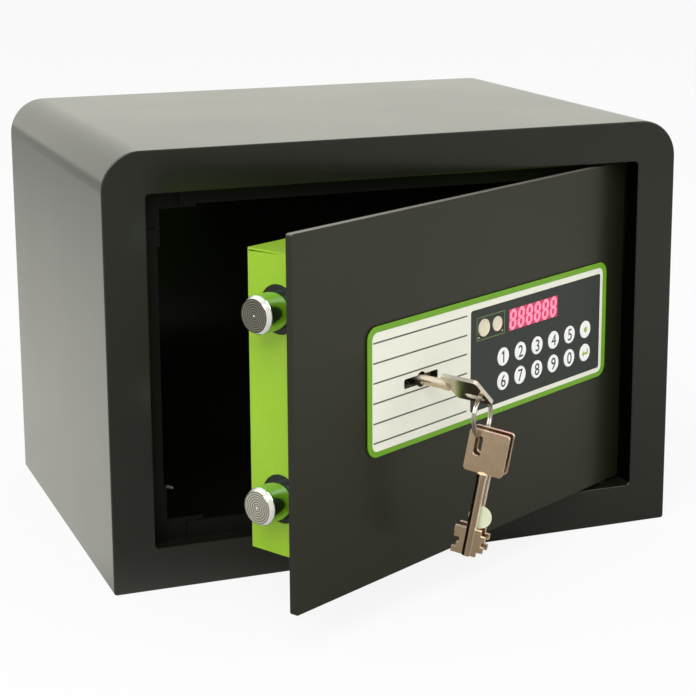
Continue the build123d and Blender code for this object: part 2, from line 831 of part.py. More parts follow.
# Keypad facia with holes for the keys, the display and the contact stems.
key_places = [(x, z) for z in key_rows_z for x in key_x]
contact_places = [(contact_large_x, contact_z), (contact_small_x, contact_z)]
with BuildPart() as keypad_facia:
    with BuildSketch(upright(door_front_y)):
        with Locations((keypad_x, keypad_z)):
            RectangleRounded(keypad_width, keypad_height, keypad_radius)
        with Locations(*key_places):
            Circle(key_diameter / 2 + key_hole_clearance, mode=Mode.SUBTRACT)
        with Locations(*contact_places):
            Circle(contact_stem_diameter / 2 + running_clearance, mode=Mode.SUBTRACT)
        with Locations((display_x, display_z)):
            Rectangle(
                display_width + 2 * keypad_fit,
                display_height + 2 * keypad_fit,
                mode=Mode.SUBTRACT,
            )
    extrude(amount=panel_sheet)
keypad_facia.part.label = "keypad_facia"
keypad_facia.part.location = ajar
export_step(keypad_facia.part, "parts/keypad_facia.step")

# Circuit board behind the window in the door plate.
with BuildPart() as circuit_board:
    with BuildSketch(upright(door_back_y + board_sheet)):
        with Locations((keypad_x, keypad_z)):
            Rectangle(board_width, board_height)
    extrude(amount=board_sheet)
circuit_board.part.label = "circuit_board"
circuit_board.part.location = ajar
export_step(circuit_board.part, "parts/circuit_board.step")

# Display module, from the board to just below the face of the facia.
with BuildPart() as display_module:
    with BuildSketch(upright(door_back_y)):
        with Locations((display_x, display_z)):
            Rectangle(display_width, display_height)
    extrude(amount=door_back_y - panel_front_y - display_sink)
display_module.part.label = "display_module"
display_module.part.location = ajar
export_step(display_module.part, "parts/display_module.step")

# Dished contacts for an outside battery, each with a stem to the board.
for (x, z), diameter, size_name in zip(
    contact_places,
    [contact_large_diameter, contact_small_diameter],
    ["large", "small"],
):
    with BuildPart() as contact:
        with BuildSketch(upright(panel_front_y)):
            with Locations((x, z)):
                Circle(diameter / 2)
        extrude(amount=contact_proud)
        with BuildSketch(upright(panel_front_y - contact_proud + contact_dish)):
            with Locations((x, z)):
                Circle(diameter / 2 - contact_proud)
        extrude(amount=contact_dish, mode=Mode.SUBTRACT)
        with BuildSketch(upright(door_back_y)):
            with Locations((x, z)):
                Circle(contact_stem_diameter / 2)
        extrude(amount=door_back_y - panel_front_y)
    contact.part.label = f"contact_{size_name}"
    contact.part.location = ajar
    export_step(contact.part, f"parts/contact_{size_name}.step")


def keypad_button(x, z):
    """A keypad button: a cap through the facia, a flange behind it and a stem towards the board."""
    flange_front_y = door_front_y + key_float
    flange_back_y = flange_front_y + key_flange_thickness
    stem_end_y = door_back_y - key_travel - key_float / 2
    with BuildPart() as shape:
        with BuildSketch(upright(flange_front_y)):
            with Locations((x, z)):
                Circle(key_diameter / 2)
        extrude(amount=flange_front_y - panel_front_y + key_proud)
        fillet(shape.faces().sort_by(Axis.Y)[0].edges(), key_edge_radius)
        with BuildSketch(upright(flange_back_y)):
            with Locations((x, z)):
                Circle(key_flange_diameter / 2)
        extrude(amount=key_flange_thickness)
        with BuildSketch(upright(stem_end_y)):
            with Locations((x, z)):
                Circle(key_stem_diameter / 2)
        extrude(amount=stem_end_y - flange_back_y)
    return shape


for row_z, row_names in zip(key_rows_z, key_names):
    for column_x, key_name in zip(key_x, row_names):
        button = keypad_button(column_x, row_z)
        button.part.label = f"button_{key_name}"
        button.part.location = ajar
        export_step(button.part, f"parts/button_{key_name}.step")

# ================================================================ key lock
# Lock case: a steel box behind the plate. Its front wall has the keyhole and its rear wall a drill pin.
lock_inner_width = lock_case_width - 2 * lock_case_wall
lock_inner_height = lock_case_height - 2 * lock_case_wall
with BuildPart() as lock_case:
    with BuildSketch(upright(door_back_y + lock_case_depth)):
        with Locations((keyhole_x, keyhole_z)):
            Rectangle(lock_case_width, lock_case_height)
    extrude(amount=lock_case_depth)
    with BuildSketch(upright(door_back_y + lock_case_depth - lock_case_wall)):
        with Locations((keyhole_x, keyhole_z)):
            Rectangle(lock_inner_width, lock_inner_height)
    extrude(amount=lock_case_depth - 2 * lock_case_wall, mode=Mode.SUBTRACT)
    with BuildSketch(upright(door_back_y + lock_case_wall)):
        add(keyhole_outline())
    extrude(amount=lock_case_wall, mode=Mode.SUBTRACT)
    with BuildSketch(upright(door_back_y + lock_case_depth - lock_case_wall)):
        with Locations((keyhole_x, keyhole_z)):
            Circle(drill_pin_diameter / 2)
    extrude(amount=drill_pin_length)
lock_case.part.label = "lock_case"
lock_case.part.location = ajar
export_step(lock_case.part, "parts/lock_case.step")

# Levers stacked in the case, each with a round window for the key's bits.
with BuildPart() as lock_levers:
    for index in range(lever_count):
        lever_back_y = door_back_y + lock_case_wall + (index + 1) * (lever_sheet + lever_gap)
        with BuildSketch(upright(lever_back_y)):
            with Locations((keyhole_x, keyhole_z)):
                Rectangle(lock_inner_width - 2 * lever_side_play, lock_inner_height - 2 * lever_side_play)
                Circle(lever_window_diameter / 2, mode=Mode.SUBTRACT)
        extrude(amount=lever_sheet)
lock_levers.part.label = "lock_levers"
lock_levers.part.location = ajar
export_step(lock_levers.part, "parts/lock_levers.step")

# ================================================================ keys and ring
slot_end = bow_height - bow_slot_top
slot_outer_side = bow_slot_offset + bow_slot_width / 2
bit_step = bit_length / len(bit_reaches)


def key_blank():
    """A double-bit key: its bow rises from the origin, its bored shank runs down, and Y is its thickness."""
    with BuildPart() as shape:
        with BuildSketch(upright(bow_sheet / 2)) as bow:
            Rectangle(bow_width, bow_height, align=(Align.CENTER, Align.MIN))
            chamfer(bow.vertices().group_by(Axis.Y)[0], bow_root_chamfer)
            fillet(bow.vertices().group_by(Axis.Y)[-1], bow_corner_radius)
            with Locations((bow_slot_offset, slot_end - bow_slot_length / 2)):
                SlotOverall(bow_slot_length, bow_slot_width, rotation=90, mode=Mode.SUBTRACT)
        extrude(amount=bow_sheet)
        with BuildSketch(Plane.XY):
            Circle(shank_diameter / 2)
        extrude(amount=-shank_length)
        with BuildSketch(Plane.XY):
            Circle(shank_collar_diameter / 2)
        extrude(amount=-shank_collar_length)
        with BuildSketch(upright(bit_sheet / 2)):
            for index, (left_reach, right_reach) in enumerate(bit_reaches):
                with Locations((0, -shank_length + bit_length - index * bit_step)):
                    Rectangle(left_reach, bit_step, align=(Align.MAX, Align.MAX))
                    Rectangle(right_reach, bit_step, align=(Align.MIN, Align.MAX))
        extrude(amount=bit_sheet)
        with BuildSketch(Plane.XY.offset(-shank_length)):
            Circle(drill_pin_diameter / 2 + running_clearance)
        extrude(amount=key_bore_depth, mode=Mode.SUBTRACT)
    return shape


# The key stands in the lock, turned clockwise, with its bow outside the door.
turn = radians(key_turned)
lock_key_plane = Plane(
    origin=(keyhole_x, bow_root_y, keyhole_z),
    x_dir=(cos(turn), 0, -sin(turn)),
    z_dir=(0, -1, 0),
)
lock_key = key_blank()
lock_key.part.label = "lock_key"
lock_key.part.location = ajar * lock_key_plane.location
export_step(lock_key.part, "parts/lock_key.step")

# Split ring: two turns side by side. It hangs from the slot's upper edge in the key's bow.
ring_radius = (ring_diameter - ring_wire) / 2
ring_inner_radius = ring_radius - ring_wire / 2
ring_half_width = (ring_turn_pitch + ring_wire) / 2
ring_hang = Vector(
    keyhole_x + slot_outer_side * cos(turn) + bow_sheet / 2 * sin(turn),
    bow_root_y - slot_end + bow_slot_width / 2 + ring_half_width,
    keyhole_z - slot_outer_side * sin(turn) + bow_sheet / 2 * cos(turn),
)
ring_heading = radians(ring_bearing)
ring_along = Vector(cos(ring_heading), sin(ring_heading), 0)
ring_plane = Plane(
    origin=ring_hang + Vector(0, 0, ring_seat_gap - ring_inner_radius),
    x_dir=ring_along,
    z_dir=Vector(-sin(ring_heading), cos(ring_heading), 0),
)
with BuildPart() as key_ring:
    with Locations((0, 0, -ring_turn_pitch / 2), (0, 0, ring_turn_pitch / 2)):
        Torus(ring_radius, ring_wire / 2)
key_ring.part.label = "key_ring"
key_ring.part.location = ajar * ring_plane.location
export_step(key_ring.part, "parts/key_ring.step")

# Two spare keys hang side by side on the ring with a plastic disc between their shanks.
spare_heading = radians(spare_bearing)
spare_lean = radians(spare_tilt)
spare_left = Vector(-sin(spare_heading), cos(spare_heading), 0)
spare_up = Vector(0, 0, cos(spare_lean)) - spare_left * sin(spare_lean)
spare_across = spare_left * cos(spare_lean) + Vector(0, 0, sin(spare_lean))
spare_spacing = shank_diameter + disc_sheet
slot_centre_level = ring_plane.origin.Z - ring_inner_radius + spare_seat_gap - bow_slot_width / 2
slot_centre = Vector(ring_plane.origin.X, ring_plane.origin.Y, slot_centre_level)
wire_step = spare_spacing / 2 / cos(spare_heading - ring_heading)


def spare_key_plane(side):
    """Where a spare key's origin lies: side is -1 for the front key and 1 for the one behind it."""
    slot_place = slot_centre + ring_along * (side * wire_step)
    origin = slot_place - spare_across * bow_slot_offset - spare_up * (slot_end - bow_slot_width / 2)
    return Plane(origin=origin, x_dir=spare_across, z_dir=spare_up)


for side, place_name in zip([-1, 1], ["front", "rear"]):
    spare_key = key_blank()
    spare_key.part.label = f"spare_key_{place_name}"
    spare_key.part.location = ajar * spare_key_plane(side).location
    export_step(spare_key.part, f"parts/spare_key_{place_name}.step")

with BuildPart() as key_disc:
    with BuildSketch(upright(-(shank_diameter / 2))):
        with Locations((-disc_offset, -disc_drop)):
            Circle(disc_diameter / 2)
    extrude(amount=disc_sheet)
key_disc.part.label = "key_disc"
key_disc.part.location = ajar * spare_key_plane(-1).location
export_step(key_disc.part, "parts/key_disc.step")

# ================================================================ battery tray and reset button
tray_front_y = pan_back_y - tray_depth
tray_inner_width = tray_width - 2 * tray_wall
with BuildPart() as battery_tray:
    with BuildSketch(upright(pan_back_y)):
        with Locations((tray_x, tray_z)):
            Rectangle(tray_width, tray_height)
    extrude(amount=tray_depth)
    with BuildSketch(upright(pan_back_y)):
        with Locations((tray_x, tray_z)):
            Rectangle(tray_inner_width, tray_height - 2 * tray_wall)
    extrude(amount=tray_depth - tray_wall, mode=Mode.SUBTRACT)
battery_tray.part.label = "battery_tray"
battery_tray.part.location = ajar
export_step(battery_tray.part, "parts/battery_tray.step")

# Cells stacked in the tray, turned end for end in alternation.
cell_y = tray_front_y + tray_wall + cell_diameter / 2
cell_pitch = cell_diameter + cell_play
cell_levels = [tray_z + (index - (cell_count - 1) / 2) * cell_pitch for index in range(cell_count)]
cell_ends = [1 - 2 * (index % 2) for index in range(cell_count)]
cell_start = tray_inner_width / 2 - cell_nub_length
with BuildPart() as battery_cells:
    for level, end in zip(cell_levels, cell_ends):
        with BuildSketch(side_on(tray_x + end * cell_start)):
            with Locations((cell_y, level)):
                Circle(cell_diameter / 2)
        extrude(amount=-end * cell_length)
        with BuildSketch(side_on(tray_x + end * cell_start)):
            with Locations((cell_y, level)):
                Circle(cell_nub_diameter / 2)
        extrude(amount=end * cell_nub_length)
battery_cells.part.label = "battery_cells"
battery_cells.part.location = ajar
export_step(battery_cells.part, "parts/battery_cells.step")

# Contact springs, drawn as cones, between each cell's flat end and the tray.
spring_length = tray_inner_width - cell_length - cell_nub_length
with BuildPart() as battery_springs:
    for level, end in zip(cell_levels, cell_ends):
        with Locations(Location((tray_x - end * tray_inner_width / 2, cell_y, level), (0, 90 * end, 0))):
            Cone(
                spring_base_diameter / 2,
                spring_tip_diameter / 2,
                spring_length,
                align=(Align.CENTER, Align.CENTER, Align.MIN),
            )
battery_springs.part.label = "battery_springs"
battery_springs.part.location = ajar
export_step(battery_springs.part, "parts/battery_springs.step")

# Ribbed cover that slides up to bare the cells.
with BuildPart() as battery_cover:
    with BuildSketch(upright(pan_back_y + cover_gap)):
        with Locations((tray_x, tray_z)):
            RectangleRounded(
                tray_width + 2 * cover_margin,
                tray_height + 2 * cover_margin,
                cover_corner_radius,
            )
    extrude(amount=-cover_sheet)
    with BuildSketch(upright(pan_back_y + cover_gap + cover_sheet)):
        with Locations((tray_x, tray_z + tray_height / 4)):
            with GridLocations(1, cover_rib_pitch, 1, cover_rib_count):
                Rectangle(cover_rib_length, cover_rib_width)
    extrude(amount=-cover_rib_height)
battery_cover.part.label = "battery_cover"
battery_cover.part.location = ajar
export_step(battery_cover.part, "parts/battery_cover.step")

# Reset switch behind the pan, and its button through the pan.
reset_end_y = pan_inner_y - reset_float
with BuildPart() as reset_switch:
    with BuildSketch(upright(pan_inner_y)):
        with Locations((reset_x, reset_z)):
            Rectangle(reset_switch_size, reset_switch_size)
    extrude(amount=reset_switch_depth)
    with BuildSketch(upright(pan_inner_y)):
        with Locations((reset_x, reset_z)):
            Circle(reset_diameter / 2 + key_hole_clearance)
    extrude(amount=pan_inner_y - reset_end_y + reset_travel + reset_float, mode=Mode.SUBTRACT)
reset_switch.part.label = "reset_switch"
reset_switch.part.location = ajar
export_step(reset_switch.part, "parts/reset_switch.step")

with BuildPart() as reset_button:
    with BuildSketch(upright(pan_back_y + reset_proud)):
        with Locations((reset_x, reset_z)):
            Circle(reset_diameter / 2)
    extrude(amount=pan_back_y + reset_proud - reset_end_y)
    fillet(reset_button.faces().sort_by(Axis.Y)[-1].edges(), key_edge_radius)
reset_button.part.label = "reset_button"
reset_button.part.location = ajar
export_step(reset_button.part, "parts/reset_button.step")


# ================================================================ wiring
def lead(points):
    """A round lead along the points, with rounded bends."""
    with BuildPart() as shape:
        with BuildLine() as route:
            FilletPolyline(*points, radius=lead_bend)
        with BuildSketch(Plane(origin=route.line @ 0, z_dir=route.line % 0)):
            Circle(lead_diameter / 2)
        sweep()
    return shape.part


board_back_y = door_back_y + board_sheet
motor_lead_z = keypad_z - window_height / 2 + lead_diameter
motor_lead = lead([
    (motor_back_x + lead_clearance, board_back_y, motor_lead_z),
    (motor_back_x + lead_clearance, bolt_y, motor_lead_z),
    (motor_back_x + lead_clearance, bolt_y, screw_level),
    (motor_back_x, bolt_y, screw_level),
])
battery_lead = lead([
    (tray_x, board_back_y, tray_z - lead_clearance),
    (tray_x, (board_back_y + tray_front_y) / 2, tray_z - lead_clearance),
    (tray_x, (board_back_y + tray_front_y) / 2, tray_z + lead_clearance),
    (tray_x, tray_front_y, tray_z + lead_clearance),
])
with BuildPart() as wiring:
    add(motor_lead)
    add(battery_lead)
wiring.part.label = "wiring"
wiring.part.location = ajar
export_step(wiring.part, "parts/wiring.step")
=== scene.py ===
import json
import math

import bmesh
import bpy
from mathutils import Matrix, Vector


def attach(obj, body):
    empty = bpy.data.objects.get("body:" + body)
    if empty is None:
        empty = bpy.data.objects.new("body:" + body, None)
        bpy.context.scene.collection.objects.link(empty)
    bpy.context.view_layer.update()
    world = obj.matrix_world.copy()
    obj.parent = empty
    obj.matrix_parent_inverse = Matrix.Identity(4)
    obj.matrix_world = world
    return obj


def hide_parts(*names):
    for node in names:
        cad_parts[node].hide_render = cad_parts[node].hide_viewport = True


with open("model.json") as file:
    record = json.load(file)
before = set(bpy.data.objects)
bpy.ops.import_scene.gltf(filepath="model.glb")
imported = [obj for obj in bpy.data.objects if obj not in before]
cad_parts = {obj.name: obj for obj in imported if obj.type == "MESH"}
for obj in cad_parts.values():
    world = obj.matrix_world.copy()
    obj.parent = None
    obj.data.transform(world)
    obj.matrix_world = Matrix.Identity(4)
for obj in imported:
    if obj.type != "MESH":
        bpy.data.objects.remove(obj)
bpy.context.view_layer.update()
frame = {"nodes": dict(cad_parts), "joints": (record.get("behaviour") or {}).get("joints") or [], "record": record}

MM = 0.001
WHITE = (1, 1, 1, 1)


def grey(level):
    return (level, level, level, 1)


# ------------------------------------------------------------------ the safe, with its door shut
OPEN_ANGLE = math.radians(28.2)
HINGE = Vector((136.1, -109.5, 0)) * MM
DOOR_LEFT = -148.1 * MM
DOOR_BASE = 26.5 * MM
DOOR_FRONT_Y = -116.5 * MM
PANEL_FRONT_Y = DOOR_FRONT_Y - 1.6 * MM
LABEL_FRONT_Y = PANEL_FRONT_Y + 0.1 * MM
DISPLAY_FRONT_Y = PANEL_FRONT_Y + 0.1 * MM
BUTTON_FRONT_Y = PANEL_FRONT_Y - 0.4 * MM
INK = 0.03 * MM

# A piece drawn with the door shut is turned to the door's place at rest by this matrix.
AJAR = (
    Matrix.Translation(HINGE) @ Matrix.Rotation(OPEN_ANGLE, 4, "Z") @ Matrix.Translation(-HINGE)
)

# ------------------------------------------------------------------ camera settings
IMAGE_SIZE = 696
FOCAL_PIXELS = 1875.3
PRINCIPAL = (362.0, 275.0)
SENSOR_WIDTH = 36.0
CLIP_RANGE = (0.05, 50)
CAMERA_AT = Vector((-401.5, -1094.1, 399.3)) * MM
CAMERA_YAW = math.radians(21.18)
CAMERA_PITCH = math.radians(-12.36)
CAMERA_ROLL = math.radians(-0.21)

# ------------------------------------------------------------------ studio settings
LAMPS = (
    # name, place, aim, size, power in watts
    ("key", (-1.2, -1.9, 2.0), (0, -0.1, 0.12), (1.6, 1.6), 47),
    ("side", (-2.0, 0.6, 1.4), (0, 0, 0.12), (1.4, 1.4), 8),
    ("fill", (1.8, -1.4, 1.2), (0, -0.1, 0.12), (1.6, 1.6), 8),
)
WORLD_STRENGTH = 0.62

# What gloss shows of the studio, by direction in the world and by place in metres on the floor.
# Painted shadow: gloss sees the floor near the box's front darker still.
GLOSS_FRONT_NEAR_SHADE = (0.14, 0.13, 0.11, 1)
GLOSS_FRONT = (0.36, 0.335, 0.28, 1)
GLOSS_SIDE = (0.72, 0.70, 0.62, 1)
GLOSS_BACK = (1.07, 1.07, 0.96, 1)
GLOSS_FRONT_REACH = (0.4, 1.1)
GLOSS_SIDE_REACH = (-0.1, 0.9)
GLOSS_BACK_REACH = (-0.25, 0.35)
GLOSS_BACK_LEAN = -0.35
GLOSS_BACK_SHIFT = 0.08
GLOSS_SOFTENING = 0.1

FLOOR_REACH = 12.0
FLOOR_DROP = 0.2 * MM
FLOOR_TONE = (0.86, 0.90)
FLOOR_GRAIN = 3.0
FLOOR_DETAIL = 2.0
FLOOR_WHITE_SHARE = 0.88
FLOOR_GLOSS_REACH = (0.35, 1.7)
FLOOR_GLOSS_SHARE = (1.0, 0.52)
# Painted shade: the floor is dark under the box.
FLOOR_SHADE_REACH = (0.112, 0.116)
FLOOR_SHADE = grey(0.001)

# ------------------------------------------------------------------ finishes
FINISHES = (
    # name, colour, roughness, metallic, what differs from the usual finish
    ("cabinet_paint", (0.0085, 0.0098, 0.0062), 0.2, 0,
     dict(mottle=0.14, patch=0.09, grain=0.0011, bump=0.000005, IOR=1.62)),
    # Painted shade: a darker, duller paint for the parts that stand in the dark of the safe.
    ("inner_shade_paint", (0.004, 0.0045, 0.0035), 0.6, 0,
     dict(mottle=0.14, patch=0.05, grain=0.0011, bump=0.000005, Specular_IOR_Level=0.2)),
    ("door_paint", (0.0145, 0.0163, 0.0076), 0.33, 0,
     dict(mottle=0.1, patch=0.09, grain=0.0012, bump=0.000005, IOR=1.55)),
    ("pan_paint", (0.262, 0.468, 0.005), 0.3, 0,
     dict(mottle=0.05, patch=0.05, grain=0.0015, bump=0.000006)),
    ("bolt_steel", (0.72, 0.71, 0.68), 0.13, 1,
     dict(mottle=0.05, patch=0.006, grain=0.0006, bump=0.000002)),
    ("works_steel", (0.56, 0.56, 0.54), 0.32, 1,
     dict(patch=0.01, grain=0.001)),
    ("lock_brass", (0.72, 0.53, 0.24), 0.3, 1,
     dict(patch=0.01)),
    ("bush_plastic", (0.006, 0.006, 0.0065), 0.35, 0,
     dict(mottle=0.1, patch=0.01, grain=0.0008, Specular_IOR_Level=0.3)),
    ("panel_green", (0.15, 0.37, 0.010), 0.34, 0,
     dict(mottle=0.06, patch=0.02, grain=0.001, bump=0.000004)),
    ("label_white", (0.83, 0.83, 0.71), 0.5, 0,
     dict(mottle=0.015, patch=0.04, grain=0.0008, bump=0.000003)),
    ("facia_grey", (0.025, 0.032, 0.027), 0.5, 0,
     dict(mottle=0.05, patch=0.03, grain=0.0007, bump=0.000004)),
    ("display_red", (0.40, 0.034, 0.08), 0.25, 0,
     dict(mottle=0.12, patch=0.004, Emission_Strength=0.55)),
    ("contact_metal", (0.86, 0.77, 0.60), 0.35, 0.2,
     dict(mottle=0.05, patch=0.003, grain=0.0004, bump=0.000003)),
    ("button_white", (0.93, 0.94, 0.91), 0.4, 0,
     dict(mottle=0.02, patch=0.005, grain=0.0005, bump=0.000003)),
    ("board_green", (0.01, 0.12, 0.04), 0.3, 0,
     dict(mottle=0.1, patch=0.004)),
    ("motor_steel", (0.5, 0.5, 0.49), 0.3, 1,
     dict(mottle=0.06, patch=0.01)),
    ("key_nickel", (0.84, 0.64, 0.44), 0.18, 1,
     dict(mottle=0.08, spread=0.05, patch=0.005, grain=0.0007, bump=0.000004)),
    ("ring_steel", (0.66, 0.62, 0.57), 0.14, 1,
     dict(mottle=0.06, patch=0.003, grain=0.0005, bump=0.000003)),
    ("disc_plastic", (0.66, 0.70, 0.50), 0.45, 0,
     dict(mottle=0.04, patch=0.004, grain=0.0006)),
    ("cell_jacket", (0.03, 0.03, 0.035), 0.25, 0,
     dict(mottle=0.1, patch=0.01)),
    ("reset_red", (0.5, 0.02, 0.015), 0.3, 0,
     dict(mottle=0.06, patch=0.004)),
    ("lead_rubber", (0.02, 0.02, 0.02), 0.5, 0,
     dict(mottle=0.1, patch=0.004)),
    ("ink", (0.03, 0.033, 0.034), 0.5, 0,
     dict(mottle=0.15, patch=0.002, grain=0.0003, bump=0.000002)),
    ("line_ink", (0.085, 0.09, 0.065), 0.5, 0,
     dict(mottle=0.15, patch=0.004, grain=0.0003, bump=0.000002)),
    ("green_ink", (0.36, 0.47, 0.04), 0.5, 0,
     dict(mottle=0.12, patch=0.002, grain=0.0003, bump=0.000002)),
    ("outline_ink", (0.15, 0.25, 0.07), 0.5, 0,
     dict(mottle=0.12, patch=0.002, grain=0.0003, bump=0.000002)),
    ("digit_glow", (0.95, 0.19, 0.30), 0.3, 0,
     dict(mottle=0.08, patch=0.003, Emission_Strength=0.8)),
)
PATCH_DETAIL = 4.0
GRAIN_DETAIL = 3.0
TONE_SPREAD = (0.36, 0.64)
LEAST_ROUGHNESS = 0.02

# These nodes wear a darker, duller paint than their slot says, painted shade, because they stand in the dark of
# the safe.
SHADED_NODES = (
    "door_stop_left", "door_stop_top", "door_stop_bottom", "corner_gussets", "hinge_brackets",
)

# Tints multiply a finish's colour, and the near-black paint of the door needs a large one to look
# paler. Most of them paint light: a painted highlight on the door's top edge and the keys' cut
# edges, and painted shade on the door's upright edges, the jamb, the keyhole and the spare keys'
# left faces. A facing range says how far a face must turn to a direction for a change to start
# and to be whole: 1 is straight at it. A roughness or metallic that changes so is written as a grey.
EDGE_FACING = (0.75, 0.97)
TOP_HIGHLIGHT_FACING = (0.5, 0.95)
STAMPED_FACING = (0.25, 0.8)
LEFT_SHADE_FACING = (0.12, 0.3)
# Painted highlight on the door's top edge and painted shade on its upright edges.
DOOR_TOP_HIGHLIGHT_TINT = (12.4, 10.3, 18.0, 1)
DOOR_SIDE_SHADE_TINT = grey(0.45)
DOOR_SIDE_ROUGHNESS = grey(0.8)
# Painted shade: the jamb walls are darkened and made metallic so that they reflect little.
JAMB_SHADE_TINT = grey(0.3)
JAMB_SHADE_METALLIC = grey(0.9)
# Painted shade: the keyhole's walls are darkened to near black.
KEYHOLE_SHADE_TINT = grey(0.02)
KEYHOLE_REACH = (17 * MM, 19 * MM)
# Painted highlight on the keys' cut edges, which are also less metallic, and painted shade on the spare keys' left
# faces.
KEY_EDGE_METALLIC = grey(0.5)
SPARE_KEY_LEFT_SHADE = (0.16, 0.14, 0.13, 1)
SPARE_KEY_EDGE_HIGHLIGHT = (1.25, 1.4, 1.65, 1)
KEY_TINTS = (
    # node, painted highlight of the cut edges, tint of the stamped faces, painted shade of the faces turned left
    ("lock_key", (0.95, 1.14, 1.40, 1), (0.78, 0.84, 0.88, 1), None),
    ("spare_key_front", SPARE_KEY_EDGE_HIGHLIGHT, WHITE, SPARE_KEY_LEFT_SHADE),
    ("spare_key_rear", SPARE_KEY_EDGE_HIGHLIGHT, WHITE, SPARE_KEY_LEFT_SHADE),
)

# ------------------------------------------------------------------ bolts, in millimetres
# The bolts are turned about X, with x from the tip. Bands along x are in metres, as shaders want.
BOLT_TIP_X = -153.1
BOLT_Y = -95.0
BOLT_LENGTH = 50.0
BOLT_RADIUS = 10.0
BOLT_FACE_RADIUS = 8.7
BOLT_CHAMFER = 0.3
BOLT_RIM_LENGTH = 2.7
BOLT_TAIL_RADIUS = 4.0
BOLT_TAIL_LENGTH = 4.6
BOLT_STEPS = 96
BOLT_CREASE = math.radians(35)
CENTRE_DEPTH = 0.9
CENTRE_RADIUS = 0.5
FACE_EDGE_X = 0.03
FACE_CHAMFER = 0.12
RIDGE_X = 0.04
GROOVE_X = 0.13
GROOVES = 6
FIRST_GROOVE = 1.25
GROOVE_PITCH = 1.28
GROOVE_HALF_WIDTH = 0.36
FACE_BAND = (0.16 * MM, 0.2 * MM)
RIM_BAND = (2.7 * MM, 2.8 * MM)
GROOVE_BAND = (0.05 * MM, 0.12 * MM)
# Painted highlight on the rim, and a painted reflection tint on the shank.
RIM_HIGHLIGHT_TINT = (1.3, 1.3, 1.28, 1)
SHANK_REFLECTION_TINT = (0.75, 1.0, 0.95, 1)
RIM_METALLIC = grey(0.45)
BOLTS = (
    # node, height, tint of the ridges on its face, tint of the grooves; the lower bolt's are paler and the upper's
    # darker, painted reflection of the floor
    ("bolt_lower", 81.0, (0.40, 0.39, 0.37, 1), (1.0, 0.98, 0.93, 1)),
    ("bolt_upper", 181.0, (0.14, 0.135, 0.12, 1), (0.38, 0.37, 0.34, 1)),
)

# ------------------------------------------------------------------ prints, in millimetres
# Places on the door are from the lower left corner of its plate, the signs by the contacts are
# inside their frame's lower corners, and the outlines of marks are about the button's middle.
LINE_SPAN = (59.4, 139.0)
LINE_HEIGHTS = (77.2, 87.8, 98.8, 109.7, 120.4, 131.2)
LINE_HALF_WIDTH = 0.42
CONTACT_FRAME_CORNERS = ((147.7, 115.0), (173.6, 128.3))
CONTACT_FRAME_STROKE = 0.45
MINUS_CORNERS = ((1.0, 1.6), (2.6, 1.95))
DOT_INSET = (2.2, 2.0)
DOT_RADIUS = 0.42
DOT_STEPS = 12
DIGITS = 6
DIGITS_CORNER = (177.7, 115.2)
DIGITS_INSET = (0.35, 0.2)
DIGIT_PITCH = 7.9
DIGIT_SIZE = (6.3, 12.0)
DIGIT_STROKE = 1.95
DIGIT_GAP = 0.12
DIGIT_SLANT = 0.07
DIGIT_DEPTH = 0.06
BUTTON_ROWS = (("1", "2", "3", "4", "5", "star"), ("6", "7", "8", "9", "0", "enter"))
BUTTON_FIRST = (172.4, 101.6)
BUTTON_PITCH = (16.4, -14.2)
FONT_SIZE = 9.9
FONT_BOLDNESS = 0.05
ONE_OUTLINE = (
    (-0.45, -3.5), (0.6, -3.5), (0.6, 3.5), (-0.2, 3.5), (-1.9, 2.2), (-1.5, 1.4), (-0.45, 2.1),
)
ENTER_OUTLINE = (
    (-3.3, -0.55), (-1.3, -2.5), (-1.3, -1.2), (3.0, -1.2), (3.0, 2.0), (1.9, 2.0), (1.9, 0.1),
    (-1.3, 0.1), (-1.3, 1.4),
)
STAR_ARMS = 6
STAR_ARM_LENGTH = 1.9
STAR_ARM_HALF_WIDTH = 0.5


# ------------------------------------------------------------------ camera
def make_camera():
    data = bpy.data.cameras.new("camera")
    data.sensor_width = SENSOR_WIDTH
    data.lens = FOCAL_PIXELS / IMAGE_SIZE * SENSOR_WIDTH
    data.shift_x = (IMAGE_SIZE / 2 - PRINCIPAL[0]) / IMAGE_SIZE
    data.shift_y = (PRINCIPAL[1] - IMAGE_SIZE / 2) / IMAGE_SIZE
    data.clip_start, data.clip_end = CLIP_RANGE
    camera = bpy.data.objects.new("camera", data)
    bpy.context.scene.collection.objects.link(camera)
    ahead = Vector((
        math.sin(CAMERA_YAW) * math.cos(CAMERA_PITCH),
        math.cos(CAMERA_YAW) * math.cos(CAMERA_PITCH),
        math.sin(CAMERA_PITCH),
    ))
    level = Vector((math.cos(CAMERA_YAW), -math.sin(CAMERA_YAW), 0))
    upward = level.cross(ahead)
    right = level * math.cos(CAMERA_ROLL) + upward * math.sin(CAMERA_ROLL)
    up = right.cross(ahead)
    turn = Matrix((right, up, -ahead)).transposed().to_4x4()
    camera.matrix_world = Matrix.Translation(CAMERA_AT) @ turn
    bpy.context.scene.camera = camera


# ------------------------------------------------------------------ shader nodes
def node(tree, kind, **values):
    """A new shader node: each value sets a property or the input socket of that name."""
    made = tree.nodes.new(kind)
    for key, value in values.items():
        if hasattr(made, key):
            setattr(made, key, value)
        else:
            made.inputs[key.replace("_", " ")].default_value = value
    return made


def feed(tree, socket, value):
    """Links a socket to another, or sets it to a plain value."""
    if isinstance(value, bpy.types.NodeSocket):
        tree.links.new(value, socket)
    else:
        socket.default_value = value


def sum_of(tree, operation, first, second=None, third=None):
    """One step of arithmetic on sockets or plain numbers."""
    step = node(tree, "ShaderNodeMath", operation=operation)
    for socket, value in zip(step.inputs, (first, second, third)):
        if value is not None:
            feed(tree, socket, value)
    return step.outputs[0]


